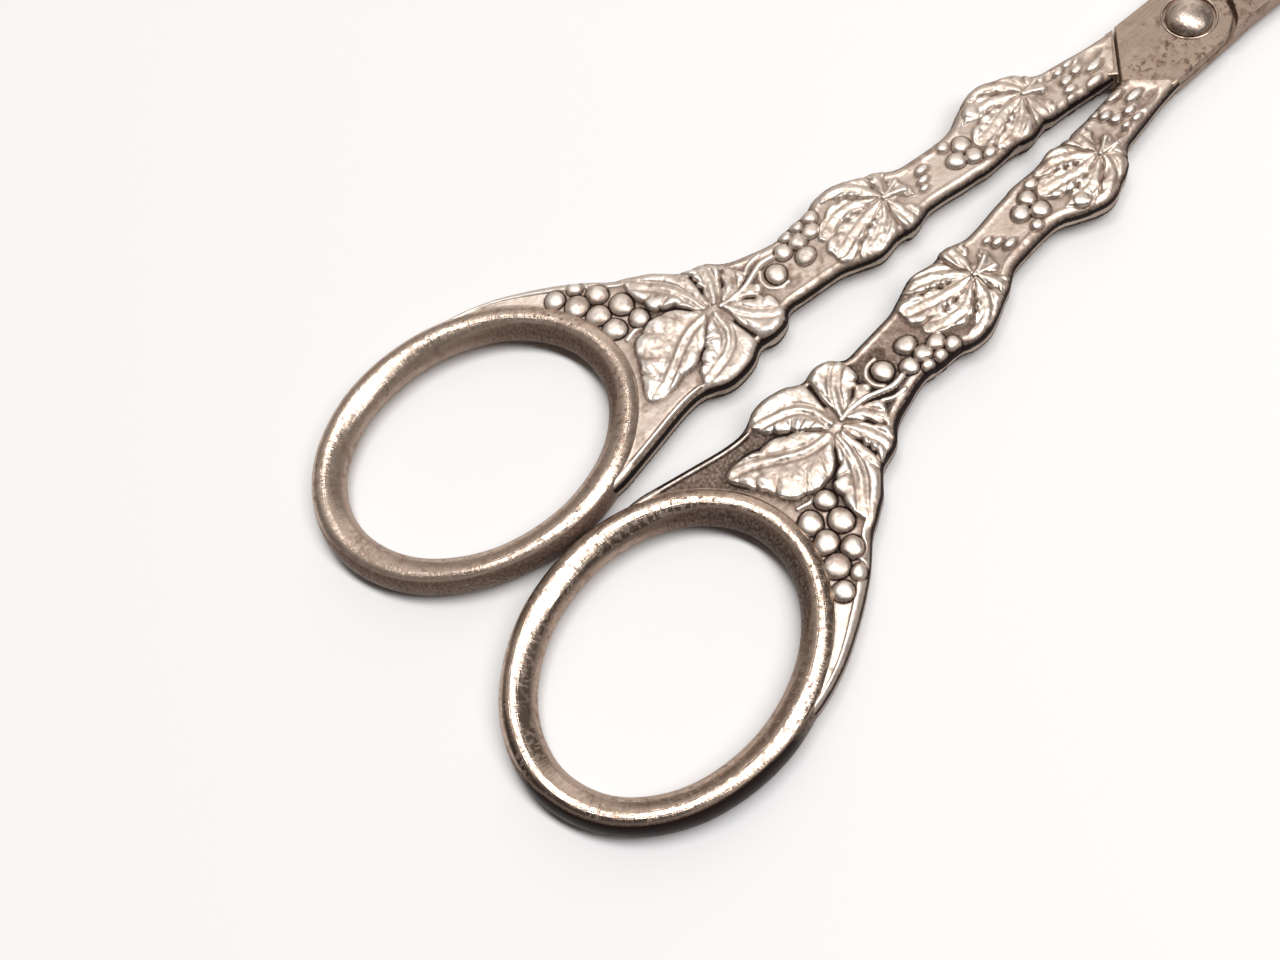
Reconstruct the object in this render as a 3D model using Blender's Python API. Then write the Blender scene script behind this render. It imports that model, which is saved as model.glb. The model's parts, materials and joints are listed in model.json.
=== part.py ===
"""Grape shears: two matching arms on one rivet.

Each arm is one casting: an oval finger bow, a web, a shank dressed with vine leaves and
grapes on both faces, a half-lap boss and a blade. The left arm is the right arm turned half
a turn about the long axis, so the two bosses and blades lap into one flush outline.

Metres, +Z up, +Y towards the blade tips, +X towards the right bow. The origin is under the
middle of the closed shears, on the surface that they lie on.
"""

import math

import bmesh
import bpy
from mathutils import Vector

MM = 0.001

# Finger bows: oval rings of round section
BOW_BACK = 84.0 * MM
BOW_LONG = 31.7 * MM
BOW_WIDE = 25.7 * MM
BOW_TUBE = 3.6 * MM
BOW_GAP = 0.3 * MM
BOW_LEAN = math.radians(10.7)
BOW_STEPS = 46
BOW_SIDES = 12

# Shank and web: a plate with a sunk panel on each face, between border ridges
SHANK_THICK = 3.0 * MM
SHANK_ROUND = 0.5 * MM
PANEL_DEPTH = 0.35 * MM
INNER_RIDGE = 1.0 * MM
OUTER_RIDGE = 1.3 * MM

# Leaves and grapes, cast proud of the panels and through to the edges
LEAF_THICK = 3.6 * MM
LEAF_RIM = 0.45 * MM
LEAF_DISH = 0.12 * MM
LEAF_VALLEY = 0.5 * MM
LEAF_PROUD = 0.14 * MM
BOW_LEAF = 11.8 * MM
MIDDLE_LEAF = 7.6 * MM
UPPER_LEAF = 7.2 * MM
GRAPE_RISE = 0.6 * MM
WEB_GRAPE = 1.15 * MM
BIG_GRAPE = 1.5 * MM
MIDDLE_GRAPE = 0.7 * MM
UPPER_GRAPE = 0.8 * MM
BEAD = 0.5 * MM
BEAD_STRETCH = 1.7

# Boss: each arm has half of it, and the halves lap at the middle plane
BOSS_THICK = 2.5 * MM
BOSS_WIDE = 9.3 * MM
BOSS_BACK = 9.6 * MM
BOSS_FACET = 0.25 * MM
LAP_GAP = 0.15 * MM
SHOULDER_GAP = 0.3 * MM
SHOULDER_RISE = 3.7 * MM
NOSE_REACH = 4.0 * MM
NOSE_SWEEP = math.radians(45)
SWEEP_STEPS = 5

# Blades
BLADE_REACH = 64.0 * MM
BLADE_THICK = 2.4 * MM
TIP_THICK = 1.5 * MM
EDGE_PAST = 1.3 * MM
EDGE_BEVEL = 1.0 * MM
BLADE_ROUND = 0.35 * MM
BEVEL_START = 9.0 * MM
BEVEL_RUN = 9.0 * MM
TAPER_POWER = 1.5

# Pivot rivet, and the seats and hole that take it
RIVET_SHANK = 2.4 * MM
RIVET_PLAY = 0.1 * MM
HEAD_WIDE = 4.8 * MM
HEAD_RISE = 0.95 * MM
TAIL_RISE = 0.45 * MM
SEAT_DEPTH = 0.3 * MM
SEAT_PLAY = 0.25 * MM
SEAT_GAP = 0.1 * MM
ROUND_SIDES = 24
DOME_LEVELS = (2, 20, 38, 56, 74)
GRAPE_SIDES = 8
GRAPE_LEVELS = (-20, 25, 62)

# One overrun for every cut, the least lean of a mitre, and the sharpest bend shaded smooth
OVERRUN = 2.0 * MM
LEAST_LEAN = 0.5
SMOOTH_ANGLE = math.radians(35)

# Plain edges of the shank and web, from the boss to the bow: how far back as a share of the
# pivot-to-bow distance, and how far out as shares of the bow's own offset
SHANK_EDGE_SHARES = (
    (0.121, 0.024, 0.348),
    (0.143, 0.040, 0.375),
    (0.167, 0.063, 0.402),
    (0.190, 0.087, 0.429),
    (0.238, 0.107, 0.469),
    (0.286, 0.114, 0.500),
    (0.333, 0.120, 0.527),
    (0.393, 0.158, 0.553),
    (0.452, 0.188, 0.617),
    (0.500, 0.208, 0.700),
    (0.536, 0.228, 0.744),
    (0.560, 0.241, 0.738),
    (0.583, 0.255, 0.757),
    (0.607, 0.268, 0.802),
    (0.655, 0.275, 0.932),
    (0.702, 0.262, 1.120),
    (0.738, 0.228, 1.300),
    (0.786, 0.188, 1.490),
    (0.833, 0.147, 1.672),
    (0.857, 0.121, 1.752),
    (0.881, 0.094, 1.812),
    (0.905, 0.088, 1.850),
    (0.929, 0.083, 1.862),
    (0.970, 0.120, 1.800),
)
# Leaf outlines about the point where their veins meet: angle in degrees, and radius as a
# share of the leaf's longest lobe
BOW_LEAF_SHARES = (
    (2, 0.52), (18, 0.55), (31, 0.52), (45, 0.44), (68, 0.36), (90, 0.40), (117, 0.44),
    (131, 0.56), (141, 0.62), (152, 0.59), (162, 0.52), (171, 0.47), (188, 0.57), (202, 0.64),
    (215, 0.71), (226, 0.72), (234, 0.50), (243, 0.68), (251, 0.92), (257, 1.00), (266, 0.87),
    (273, 0.75), (279, 0.80), (288, 0.73), (297, 0.66), (306, 0.50), (315, 0.60), (324, 0.72),
    (332, 0.87), (338, 0.95), (345, 0.83), (354, 0.63),
)
MIDDLE_LEAF_SHARES = (
    (0, 0.54), (24, 0.54), (46, 0.47), (68, 0.40), (90, 0.41), (114, 0.40), (136, 0.45),
    (156, 0.53), (172, 0.59), (186, 0.55), (199, 0.54), (211, 0.68), (222, 0.80), (236, 0.92),
    (246, 0.88), (254, 0.84), (264, 1.00), (273, 0.88), (282, 0.72), (298, 0.68), (306, 0.86),
    (313, 0.95), (324, 0.88), (336, 0.74), (348, 0.62),
)
UPPER_LEAF_SHARES = (
    (8, 0.50), (22, 0.48), (42, 0.38), (66, 0.29), (90, 0.27), (118, 0.30), (142, 0.37),
    (160, 0.47), (177, 0.56), (189, 0.53), (199, 0.51), (210, 0.64), (219, 0.74), (232, 0.86),
    (246, 0.92), (262, 1.00), (276, 0.92), (287, 0.78), (296, 0.74), (305, 0.87), (316, 0.84),
    (326, 0.76), (340, 0.64), (354, 0.54),
)

# Where things sit on the arm: out as a share of the bow's offset, back as a share of the
# pivot-to-bow distance
BOW_LEAF_PLACE_SHARES = (0.597, 0.681)
MIDDLE_LEAF_PLACE_SHARES = (0.429, 0.443)
UPPER_LEAF_PLACE_SHARES = (0.349, 0.212)
WEB_GRAPE_SHARES = (
    (0.925, 0.756), (1.093, 0.758), (1.274, 0.771), (0.970, 0.786), (1.133, 0.788),
    (1.301, 0.798), (1.430, 0.812),
)
BIG_GRAPE_SHARES = ((0.503, 0.597),)
MIDDLE_GRAPE_SHARES = (
    (0.490, 0.556), (0.610, 0.570), (0.597, 0.551), (0.684, 0.558), (0.603, 0.532),
    (0.691, 0.539), (0.684, 0.519),
)
UPPER_GRAPE_SHARES = (
    (0.308, 0.337), (0.365, 0.320), (0.255, 0.319), (0.312, 0.303), (0.410, 0.301),
    (0.505, 0.274),
)
BEAD_SHARES = (
    (0.190, 0.121), (0.112, 0.137), (0.262, 0.158), (0.190, 0.166), (0.115, 0.174),
    (0.300, 0.135),
)

# The blunt nose of the boss: its width as a share of the boss's, where it leaves the side as a
# share of its reach, and its bend
NOSE_WIDE_SHARE = 0.957
NOSE_SIDE_SHARE = 0.22
NOSE_BEND_SHARES = (0.70, 0.77)

# A leaf from its margin to its middle: how far out, then shares of the rim's drop, of the
# valleys between the lobes and of the dished middle
LEAF_PROFILE_SHARES = (
    (1.0, 1.0, 0.0, 0.0), (0.95, 0.0, 0.19, 0.0), (0.6, 0.0, 0.96, 0.0), (0.2, 0.0, 0.64, 1.0),
)

# The width of the closed blades and where they leave the boss, as shares of the boss's width,
# and the least land and the most rounding of a back as shares of the blade's half width
BLADE_WIDE_SHARE = 1.01
BLADE_ROOT_SHARE = 0.25
LAND_SHARE = 0.4
BACK_ROUND_SHARE = 0.3

# Half width of the closed blades along them: along as a share of the blade's reach, and
# across as a share of the half width
BLADE_EDGE_SHARES = (
    (0.00, 0.925), (0.07, 0.94), (0.14, 0.975), (0.21, 1.00), (0.28, 1.00), (0.36, 0.995),
    (0.44, 0.975), (0.52, 0.94), (0.60, 0.895), (0.68, 0.835), (0.75, 0.77), (0.81, 0.70),
    (0.86, 0.63), (0.90, 0.56), (0.93, 0.49), (0.955, 0.41), (0.975, 0.32), (0.99, 0.22),
    (1.00, 0.10),
)

# The bow's place follows from its own size and the gap between the two bows
BOW_HALF_ACROSS = math.hypot(BOW_LONG / 2 * math.sin(BOW_LEAN), BOW_WIDE / 2 * math.cos(BOW_LEAN))
BOW_HALF_ALONG = math.hypot(BOW_LONG / 2 * math.cos(BOW_LEAN), BOW_WIDE / 2 * math.sin(BOW_LEAN))
BOW_SIDE = BOW_HALF_ACROSS + BOW_TUBE / 2 + BOW_GAP / 2
HANDLE_REACH = BOW_BACK + BOW_HALF_ALONG + BOW_TUBE / 2

# The pivot's place in the part's frame
PIVOT_Y = (HANDLE_REACH - BLADE_REACH) / 2
MIDDLE_Z = max(BOW_TUBE, LEAF_THICK) / 2

METALS = {
    "right_arm": ((0.56, 0.46, 0.40), 0.32),
    "left_arm": ((0.56, 0.46, 0.40), 0.32),
    "pivot_rivet": ((0.62, 0.54, 0.48), 0.22),
}


def clear_scene():
    for thing in list(bpy.data.objects):
        bpy.data.objects.remove(thing, do_unlink=True)


def new_object(name, bm):
    """Closes a bmesh into an object with its faces pointing out."""
    bmesh.ops.recalc_face_normals(bm, faces=bm.faces)
    mesh = bpy.data.meshes.new(name)
    bm.to_mesh(mesh)
    bm.free()
    thing = bpy.data.objects.new(name, mesh)
    bpy.context.collection.objects.link(thing)
    return thing


def combine(base, tool, operation):
    """Joins the tool to the base or cuts it away, and removes the tool."""
    step = base.modifiers.new(operation.lower(), "BOOLEAN")
    step.operation = operation
    step.solver = "EXACT"
    step.use_self = operation == "UNION"
    step.object = tool
    graph = bpy.context.evaluated_depsgraph_get()
    mesh = bpy.data.meshes.new_from_object(base.evaluated_get(graph))
    base.modifiers.clear()
    base.data = mesh
    bpy.data.objects.remove(tool, do_unlink=True)


def inset(outline, widths):
    """Moves each point of a counter-clockwise outline inwards by its own width."""
    count = len(outline)
    moved = []
    for i, (x, y) in enumerate(outline):
        before = Vector(outline[i - 1])
        here = Vector((x, y))
        after = Vector(outline[(i + 1) % count])
        first = (here - before).normalized()
        second = (after - here).normalized()
        bisector = (Vector((-first.y, first.x)) + Vector((-second.y, second.x))).normalized()
        lean = max(bisector.dot(Vector((-first.y, first.x))), LEAST_LEAN)
        moved.append(here + bisector * (widths[i] / lean))
    return [(point.x, point.y) for point in moved]


def loft(bm, rings):
    """Skins a stack of rings with as many points each, and closes both ends."""
    rows = [[bm.verts.new(point) for point in ring] for ring in rings]
    count = len(rows[0])
    for low, high in zip(rows, rows[1:]):
        for i in range(count):
            j = (i + 1) % count
            bm.faces.new((low[i], low[j], high[j], high[i]))
    bm.faces.new(rows[0])
    bm.faces.new(rows[-1])


def plate(name, outline, low, high, rounding=0.0):
    """A flat plate on an outline, with its upper and lower edges rounded over."""
    levels = [(low, 0.0), (high, 0.0)]
    if rounding:
        knee = rounding * (1 - math.cos(math.pi / 4))
        levels = [
            (low, rounding), (low + knee, knee), (low + rounding, 0.0),
            (high - rounding, 0.0), (high - knee, knee), (high, rounding),
        ]
    rings = []
    for height, depth in levels:
        ring = inset(outline, [depth] * len(outline))
        rings.append([(x, y, height) for x, y in ring])
    bm = bmesh.new()
    loft(bm, rings)
    return new_object(name, bm)


def round_bar(name, sections):
    """A turned bar on Z through sections of a height and a radius."""
    rings = []
    for height, radius in sections:
        ring = []
        for i in range(ROUND_SIDES):
            angle = 2 * math.pi * i / ROUND_SIDES
            ring.append((radius * math.cos(angle), radius * math.sin(angle), height))
        rings.append(ring)
    bm = bmesh.new()
    loft(bm, rings)
    return new_object(name, bm)


# The bow

def bow_point(angle):
    """A point of the bow's oval, seen from above in the arm's frame."""
    long_side = BOW_LONG / 2 * math.cos(angle)
    wide_side = BOW_WIDE / 2 * math.sin(angle)
    x = BOW_SIDE - long_side * math.sin(BOW_LEAN) - wide_side * math.cos(BOW_LEAN)
    y = -BOW_BACK + long_side * math.cos(BOW_LEAN) - wide_side * math.sin(BOW_LEAN)
    return x, y


def bow_ring():
    """The finger bow, a round bar swept along the oval."""
    bm = bmesh.new()
    rows = []
    for step in range(BOW_STEPS):
        angle = 2 * math.pi * step / BOW_STEPS
        here = Vector(bow_point(angle))
        turn = math.pi / BOW_STEPS
        along = Vector(bow_point(angle + turn)) - Vector(bow_point(angle - turn))
        out = Vector((along.y, -along.x)).normalized()
        row = []
        for side in range(BOW_SIDES):
            around = 2 * math.pi * (side + 0.5) / BOW_SIDES
            reach = BOW_TUBE / 2 / math.cos(math.pi / BOW_SIDES)
            flat = here + out * (reach * math.cos(around))
            row.append(bm.verts.new((flat.x, flat.y, reach * math.sin(around))))
        rows.append(row)
    for i in range(BOW_STEPS):
        row, after = rows[i], rows[(i + 1) % BOW_STEPS]
        for side in range(BOW_SIDES):
            j = (side + 1) % BOW_SIDES
            bm.faces.new((row[side], row[j], after[j], after[side]))
    return new_object("bow", bm)


# The shank and web

def shank_edges():
    """The plain inner and outer edges of the shank and web, from the boss to the bow."""
    inner = [(share[1] * BOW_SIDE, -share[0] * BOW_BACK) for share in SHANK_EDGE_SHARES]
    outer = [(share[2] * BOW_SIDE, -share[0] * BOW_BACK) for share in SHANK_EDGE_SHARES]
    return inner, outer


def shank_outline():
    """The shank and web from above: down the inner side, across the bow, up the outer side."""
    inner, outer = shank_edges()
    overlap = SHANK_ROUND
    shoulder = (BOSS_WIDE / 2 - BOSS_FACET, -BOSS_BACK + SHOULDER_RISE + overlap)
    crotch = (inner[0][0], -BOSS_BACK + overlap)
    return [crotch] + inner + outer[::-1] + [shoulder]


def panel_outline():
    """The sunk panel, inside the border ridges, with its pointed end towards the boss."""
    inner, outer = shank_edges()
    inner, outer = inner[1:-1], outer[1:-1]
    point = ((inner[0][0] + outer[0][0]) / 2, -BOSS_BACK)
    outline = inner + outer[::-1] + [point]
    widths = [INNER_RIDGE] * len(inner) + [OUTER_RIDGE] * len(outer) + [INNER_RIDGE]
    return inset(outline, widths)


def shank_plate():
    half = SHANK_THICK / 2
    shank = plate("shank", shank_outline(), -half, half, SHANK_ROUND)
    panel = panel_outline()
    floor = half - PANEL_DEPTH
    combine(shank, plate("upper_panel", panel, floor, half + OVERRUN), "DIFFERENCE")
    combine(shank, plate("lower_panel", panel, -half - OVERRUN, -floor), "DIFFERENCE")
    angles = [2 * math.pi * step / BOW_STEPS for step in range(BOW_STEPS)]
    oval = [bow_point(-angle) for angle in angles]
    hole = plate("finger_hole", oval, -half - OVERRUN, half + OVERRUN)
    combine(shank, hole, "DIFFERENCE")
    return shank


# The boss and the blade

def boss_outline():
    """One half of the boss from above, with its blunt nose on the side away from the blade."""
    half = BOSS_WIDE / 2
    nose = half * NOSE_WIDE_SHARE
    inner, outer = shank_edges()
    return [
        (-nose, NOSE_REACH),
        (-nose, 0.0),
        (-half, -BOSS_BACK + SHOULDER_RISE),
        (-inner[0][0], -BOSS_BACK),
        (inner[0][0] + SHANK_ROUND, inner[0][1]),
        (outer[0][0] - SHANK_ROUND, outer[0][1]),
        (half, -BOSS_BACK + SHOULDER_RISE),
        (nose, NOSE_REACH * NOSE_SIDE_SHARE),
        (nose * NOSE_BEND_SHARES[0], NOSE_REACH * NOSE_BEND_SHARES[1]),
        (EDGE_PAST - BLADE_ROUND, NOSE_REACH + BLADE_ROUND),
        (-nose + BLADE_ROUND, NOSE_REACH + BLADE_ROUND),
    ]


def lap_outline():
    """What the other arm's half boss and blade need free, with their clearance."""
    half = BOSS_WIDE / 2
    inner, _ = shank_edges()
    rise = SHOULDER_RISE
    run = half - inner[0][0]
    slope = math.hypot(rise, run)
    drop = SHOULDER_GAP * slope / run
    side = half + OVERRUN
    corner = math.hypot(half * NOSE_WIDE_SHARE, NOSE_REACH * NOSE_SIDE_SHARE) + SHOULDER_GAP / 2
    edge = -(EDGE_PAST + SHOULDER_GAP)
    sweep = []
    for step in range(SWEEP_STEPS + 1):
        angle = math.pi - NOSE_SWEEP * (1 - step / SWEEP_STEPS)
        sweep.append((corner * math.cos(angle), corner * math.sin(angle)))
    back = -BOSS_BACK - drop
    return [
        (-side, back - drop),
        (0.0, back - drop),
        (0.0, back - inner[0][0] * rise / run),
        (side, back + (side - inner[0][0]) * rise / run),
        (side, BLADE_REACH + OVERRUN),
        (edge, BLADE_REACH + OVERRUN),
        (edge, NOSE_REACH + SHOULDER_GAP),
    ] + sweep + [(-side, 0.0)]


def blade_half_width(along):
    """Half the width of the closed blades at a share of their reach."""
    for (start, first), (end, last) in zip(BLADE_EDGE_SHARES, BLADE_EDGE_SHARES[1:]):
        if along <= end:
            break
    widest = BOSS_WIDE * BLADE_WIDE_SHARE / 2
    return widest * (first + (last - first) * (along - start) / (end - start))


def blade():
    """The arm's blade: a back of full thickness, and a plate ground to the cutting edge."""
    root = BOSS_WIDE * BLADE_ROOT_SHARE
    stations = [root, BEVEL_START, BEVEL_START + BEVEL_RUN]
    stations += [share * BLADE_REACH for share, _ in BLADE_EDGE_SHARES if share * BLADE_REACH > root]
    rings = []
    for y in sorted(set(stations)):
        along = min(y / BLADE_REACH, 1.0)
        half = blade_half_width(along)
        top = (BLADE_THICK + (TIP_THICK - BLADE_THICK) * along ** TAPER_POWER) / 2
        right = min(EDGE_PAST, half)
        grind = min(max(y - BEVEL_START, 0.0) / BEVEL_RUN, 1.0) * EDGE_BEVEL
        land = max(right - grind, -half * LAND_SHARE)
        round_over = min(BLADE_ROUND, half * BACK_ROUND_SHARE)
        rings.append([
            (-half + round_over, y, -top), (-half, y, -top + round_over),
            (-half, y, top - round_over), (-half + round_over, y, top),
            (land, y, top), (right, y, LAP_GAP), (right, y, -top),
        ])
    bm = bmesh.new()
    loft(bm, rings)
    return new_object("blade", bm)


# Leaves and grapes

def on_arm(out_share, back_share):
    return Vector((out_share * BOW_SIDE, -back_share * BOW_BACK))


def leaf(name, place_shares, outline_shares, size):
    """A lobed leaf cast right through the arm, dished at the middle of both faces."""
    centre = on_arm(*place_shares)
    turns = [math.radians(angle) for angle, _ in outline_shares]
    reaches = [share * size for _, share in outline_shares]
    shortest, longest = min(reaches), max(reaches)
    crest = LEAF_THICK / 2
    rings = []
    for sign in (-1, 1):
        levels = LEAF_PROFILE_SHARES[::-1] if sign < 0 else LEAF_PROFILE_SHARES
        for share, rim_share, valley_share, dish_share in levels:
            drop = LEAF_RIM * rim_share + LEAF_DISH * dish_share
            ring = []
            for turn, reach in zip(turns, reaches):
                lobe = (reach - shortest) / (longest - shortest)
                valley = LEAF_VALLEY * (1 - lobe) * valley_share
                height = max(crest - valley, SHANK_THICK / 2 + LEAF_PROUD) - drop
                spot = centre + Vector((math.cos(turn), math.sin(turn))) * (reach * share)
                ring.append((spot.x, spot.y, sign * height))
            rings.append(ring)
    bm = bmesh.new()
    loft(bm, rings)
    return new_object(name, bm)


def grapes(name, place_shares, radius, stretch=1.0):
    """Domed grapes on both faces of the panel."""
    bm = bmesh.new()
    seat = SHANK_THICK / 2 - PANEL_DEPTH
    for out_share, back_share in place_shares:
        spot = on_arm(out_share, back_share)
        for sign in (-1, 1):
            rings = []
            for level in GRAPE_LEVELS:
                level = math.radians(level)
                ring = []
                for side in range(GRAPE_SIDES):
                    around = 2 * math.pi * side / GRAPE_SIDES
                    reach = radius * math.cos(level)
                    ring.append((
                        spot.x + reach * math.cos(around),
                        spot.y + reach * stretch * math.sin(around),
                        sign * (seat + GRAPE_RISE * math.sin(level)),
                    ))
                rings.append(ring)
            loft(bm, rings)
    return new_object(name, bm)


# The arm and the rivet

def arm_mesh():
    """The right arm about the pivot, with its middle plane at zero height."""
    arm = shank_plate()
    half_boss = BOSS_THICK / 2
    combine(arm, bow_ring(), "UNION")
    combine(arm, plate("boss", boss_outline(), -half_boss, half_boss, BOSS_FACET), "UNION")
    combine(arm, blade(), "UNION")
    combine(arm, leaf("upper_leaf", UPPER_LEAF_PLACE_SHARES, UPPER_LEAF_SHARES, UPPER_LEAF), "UNION")
    combine(arm, leaf("middle_leaf", MIDDLE_LEAF_PLACE_SHARES, MIDDLE_LEAF_SHARES, MIDDLE_LEAF), "UNION")
    combine(arm, leaf("bow_leaf", BOW_LEAF_PLACE_SHARES, BOW_LEAF_SHARES, BOW_LEAF), "UNION")
    combine(arm, grapes("web_grapes", WEB_GRAPE_SHARES, WEB_GRAPE), "UNION")
    combine(arm, grapes("big_grape", BIG_GRAPE_SHARES, BIG_GRAPE), "UNION")
    combine(arm, grapes("middle_grapes", MIDDLE_GRAPE_SHARES, MIDDLE_GRAPE), "UNION")
    combine(arm, grapes("upper_grapes", UPPER_GRAPE_SHARES, UPPER_GRAPE), "UNION")
    combine(arm, grapes("beads", BEAD_SHARES, BEAD, BEAD_STRETCH), "UNION")
    lap = plate("lap", lap_outline(), -half_boss - OVERRUN, LAP_GAP / 2)
    combine(arm, lap, "DIFFERENCE")
    seat_floor = half_boss - SEAT_DEPTH
    hole = RIVET_SHANK / 2 + RIVET_PLAY
    seat = HEAD_WIDE / 2 + SEAT_PLAY
    bore = round_bar("bore", (
        (-half_boss - OVERRUN, hole), (seat_floor, hole), (seat_floor, seat), (half_boss + OVERRUN, seat),
    ))
    combine(arm, bore, "DIFFERENCE")
    mesh = arm.data
    bpy.data.objects.remove(arm, do_unlink=True)
    return mesh


def rivet():
    """The rivet, with its domed head above and its lower closed end below."""
    half_boss = BOSS_THICK / 2
    shank, head = RIVET_SHANK / 2, HEAD_WIDE / 2
    seat = half_boss - SEAT_DEPTH + SEAT_GAP
    sections = []
    for rise, sign in ((TAIL_RISE, -1), (HEAD_RISE, 1)):
        dome = []
        for level in DOME_LEVELS:
            angle = math.radians(level)
            height = (rise + SEAT_DEPTH - SEAT_GAP) * math.sin(angle)
            dome.append((sign * (seat + height), head * math.cos(angle)))
        end = [(sign * seat, shank)] + dome
        sections += end[::-1] if sign < 0 else end
    return round_bar("pivot_rivet", sections)


def metal(name):
    colour, roughness = METALS[name]
    material = bpy.data.materials.new(name)
    material.use_nodes = True
    shader = material.node_tree.nodes["Principled BSDF"]
    shader.inputs["Base Color"].default_value = (*colour, 1.0)
    shader.inputs["Metallic"].default_value = 1.0
    shader.inputs["Roughness"].default_value = roughness
    return material


def place(thing, parent):
    """Hangs a piece on the pivot and gives it its metal."""
    thing.parent = parent
    thing.data.materials.clear()
    thing.data.materials.append(metal(thing.name))
    thing.data.shade_smooth()
    thing.data.set_sharp_from_angle(angle=SMOOTH_ANGLE)


def build():
    clear_scene()
    pivot = bpy.data.objects.new("pivot", None)
    pivot.location = (0, PIVOT_Y, MIDDLE_Z)
    bpy.context.collection.objects.link(pivot)
    mesh = arm_mesh()
    for name, turn in (("right_arm", 0.0), ("left_arm", math.pi)):
        arm = bpy.data.objects.new(name, mesh.copy())
        bpy.context.collection.objects.link(arm)
        arm.rotation_euler = (0, turn, 0)
        place(arm, pivot)
    place(rivet(), pivot)


build()
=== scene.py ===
"""Looks of the grape shears: cast arms with vine leaves and grapes, bows, blades and rivet.

All shapes are worked out in the arm's own frame, in millimetres: x outwards from the middle
line, y from the pivot towards the tips, z up from the middle plane. The casting of each arm
is a surface of heights over the arm's plan, built up from its ridges, leaves and grapes.
"""

import json
import math

import bmesh
import bpy
import numpy as np
from mathutils import Matrix, Vector
from mathutils.geometry import delaunay_2d_cdt


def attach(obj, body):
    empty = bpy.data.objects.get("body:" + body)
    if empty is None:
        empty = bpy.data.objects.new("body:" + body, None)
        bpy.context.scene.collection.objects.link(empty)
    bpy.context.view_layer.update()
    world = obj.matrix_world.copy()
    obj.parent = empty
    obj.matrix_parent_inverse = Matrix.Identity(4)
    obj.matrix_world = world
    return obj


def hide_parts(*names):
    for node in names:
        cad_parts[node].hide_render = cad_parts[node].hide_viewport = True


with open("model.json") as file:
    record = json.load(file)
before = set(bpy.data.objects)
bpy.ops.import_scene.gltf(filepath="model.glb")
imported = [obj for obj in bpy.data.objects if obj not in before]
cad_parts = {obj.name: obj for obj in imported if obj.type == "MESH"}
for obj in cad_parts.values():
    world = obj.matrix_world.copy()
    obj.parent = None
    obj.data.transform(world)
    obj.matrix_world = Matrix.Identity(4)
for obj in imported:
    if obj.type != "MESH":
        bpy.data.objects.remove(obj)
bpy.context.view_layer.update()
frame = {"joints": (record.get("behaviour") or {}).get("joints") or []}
PIVOT = np.array(frame["joints"][0]["pos_m"])
MM = 0.001

# The photograph's viewpoint
CAMERA_PLACE = (0.062303, -0.077511, 0.142359)
CAMERA_TURN = (0.411875, 0.166858, 0.873906)
CAMERA_LENS = 45.0
SENSOR_WIDTH = 36

# Finger bow
BOW_SIDE = 14.915
BOW_BACK = 84.0
BOW_LONG = 31.7
BOW_WIDE = 25.7
BOW_LEAN = math.radians(10.7)
BOW_TUBE = 1.8
BOW_CREST = 0.32
BOW_MEAN = 14.4
BOW_STEPS = 420
BOW_AROUND = 44

# Where the web meets the bow, in degrees from the bow's front end
WEB_JOIN = (65, -89)

# Casting levels above the middle plane
RIDGE = 1.43
PANEL = 1.22
RIM = 1.3
END_BAND = RIDGE - 0.06
LEAF_BED = 1.42
LEAF_TOP = 1.84
CREST = 2.0
UNDER_CREST = 1.78

# Casting edges, and the ring of rim and seam beside the bow
EDGE_ROUND = 1.05
EDGE_DROP = 0.95
RIM_AT = 1.36
RIM_HALF = 0.13
SEAM_AT = 1.12
SEAM_HALF = 0.09
SEAM_DEPTH = 0.24
BOW_COVER = 0.86
UNDER_BOW = 0.12
END_SLOPE = 0.94

# Meshing steps
GRID = 0.105
UNDER_GRID = 0.19
EDGE_STEP = 0.12

# Boss, blade and rivet
BOSS_TOP = 1.25
BOSS_ROUND = 0.22
LAP = 0.075
BLADE_REACH = 64.0
BLADE_THICK = 2.4
TIP_THINNER = 0.9
BLADE_ROUND = 0.35
EDGE_PAST = 1.3
EDGE_LEVEL = 0.15
BEVEL_START = 9
BEVEL_RUN = 9
SEAT_RADIUS = 2.65
SEAT_FLOOR = 0.95
HEAD_RADIUS = 2.4
HEAD_TOP = 2.2
TAIL_TOP = 1.7
CAP_BASE = 1.1
CAP_SEAT = 1.05
HOLE_RADIUS = 1.3
PIN_RADIUS = 1.2
ROUND_STEPS = 96

# Brown on walls, partly tarnish and partly painted shade, and by arm (right 1, left -1) the most brown on
# the bow's outer and inner flank, mostly painted shade
WALL_TARNISH_AND_SHADE = 0.1
BOW_FLANK_TARNISH_AND_SHADE = {1: (0.34, 0.24), -1: (0.2, 0.2)}

# Dull film by arm, and the colours of the metal, its tarnish, which also serves as painted shade, and its
# rubbed crests
FILM = {1: 0.02, -1: 0.24}
CASTING_SILVER = (0.75, 0.66, 0.585)
BOW_SILVER = (0.62, 0.51, 0.43)
BLADE_SILVER = (0.54, 0.43, 0.355)
RIVET_SILVER = (0.74, 0.64, 0.56)
BROWN_TARNISH_AND_SHADE = (0.24, 0.155, 0.115)
BLACK_TARNISH_AND_SHADE = (0.016, 0.009, 0.008)
RUBBED_SILVER = (0.87, 0.81, 0.755)

# Table, lamp and the room's colours
TABLE_HALF = 3
TABLE_LEVEL = -0.0001
KEY_PLACE = (0.33, 0.26, 1.2)
KEY_SIZE = (1.7, 0.28)
KEY_TURN = 17.6
KEY_POWER = 17.8
DARK_ROOM = (0.05, 0.039, 0.034)
DIM_ROOM = (0.12, 0.103, 0.092)
NEAR_WALL = (0.62, 0.575, 0.54)
FAR_WALL = (0.98, 0.91, 0.85)
WALL_FOOT = (0.2, 0.17, 0.15)

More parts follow.
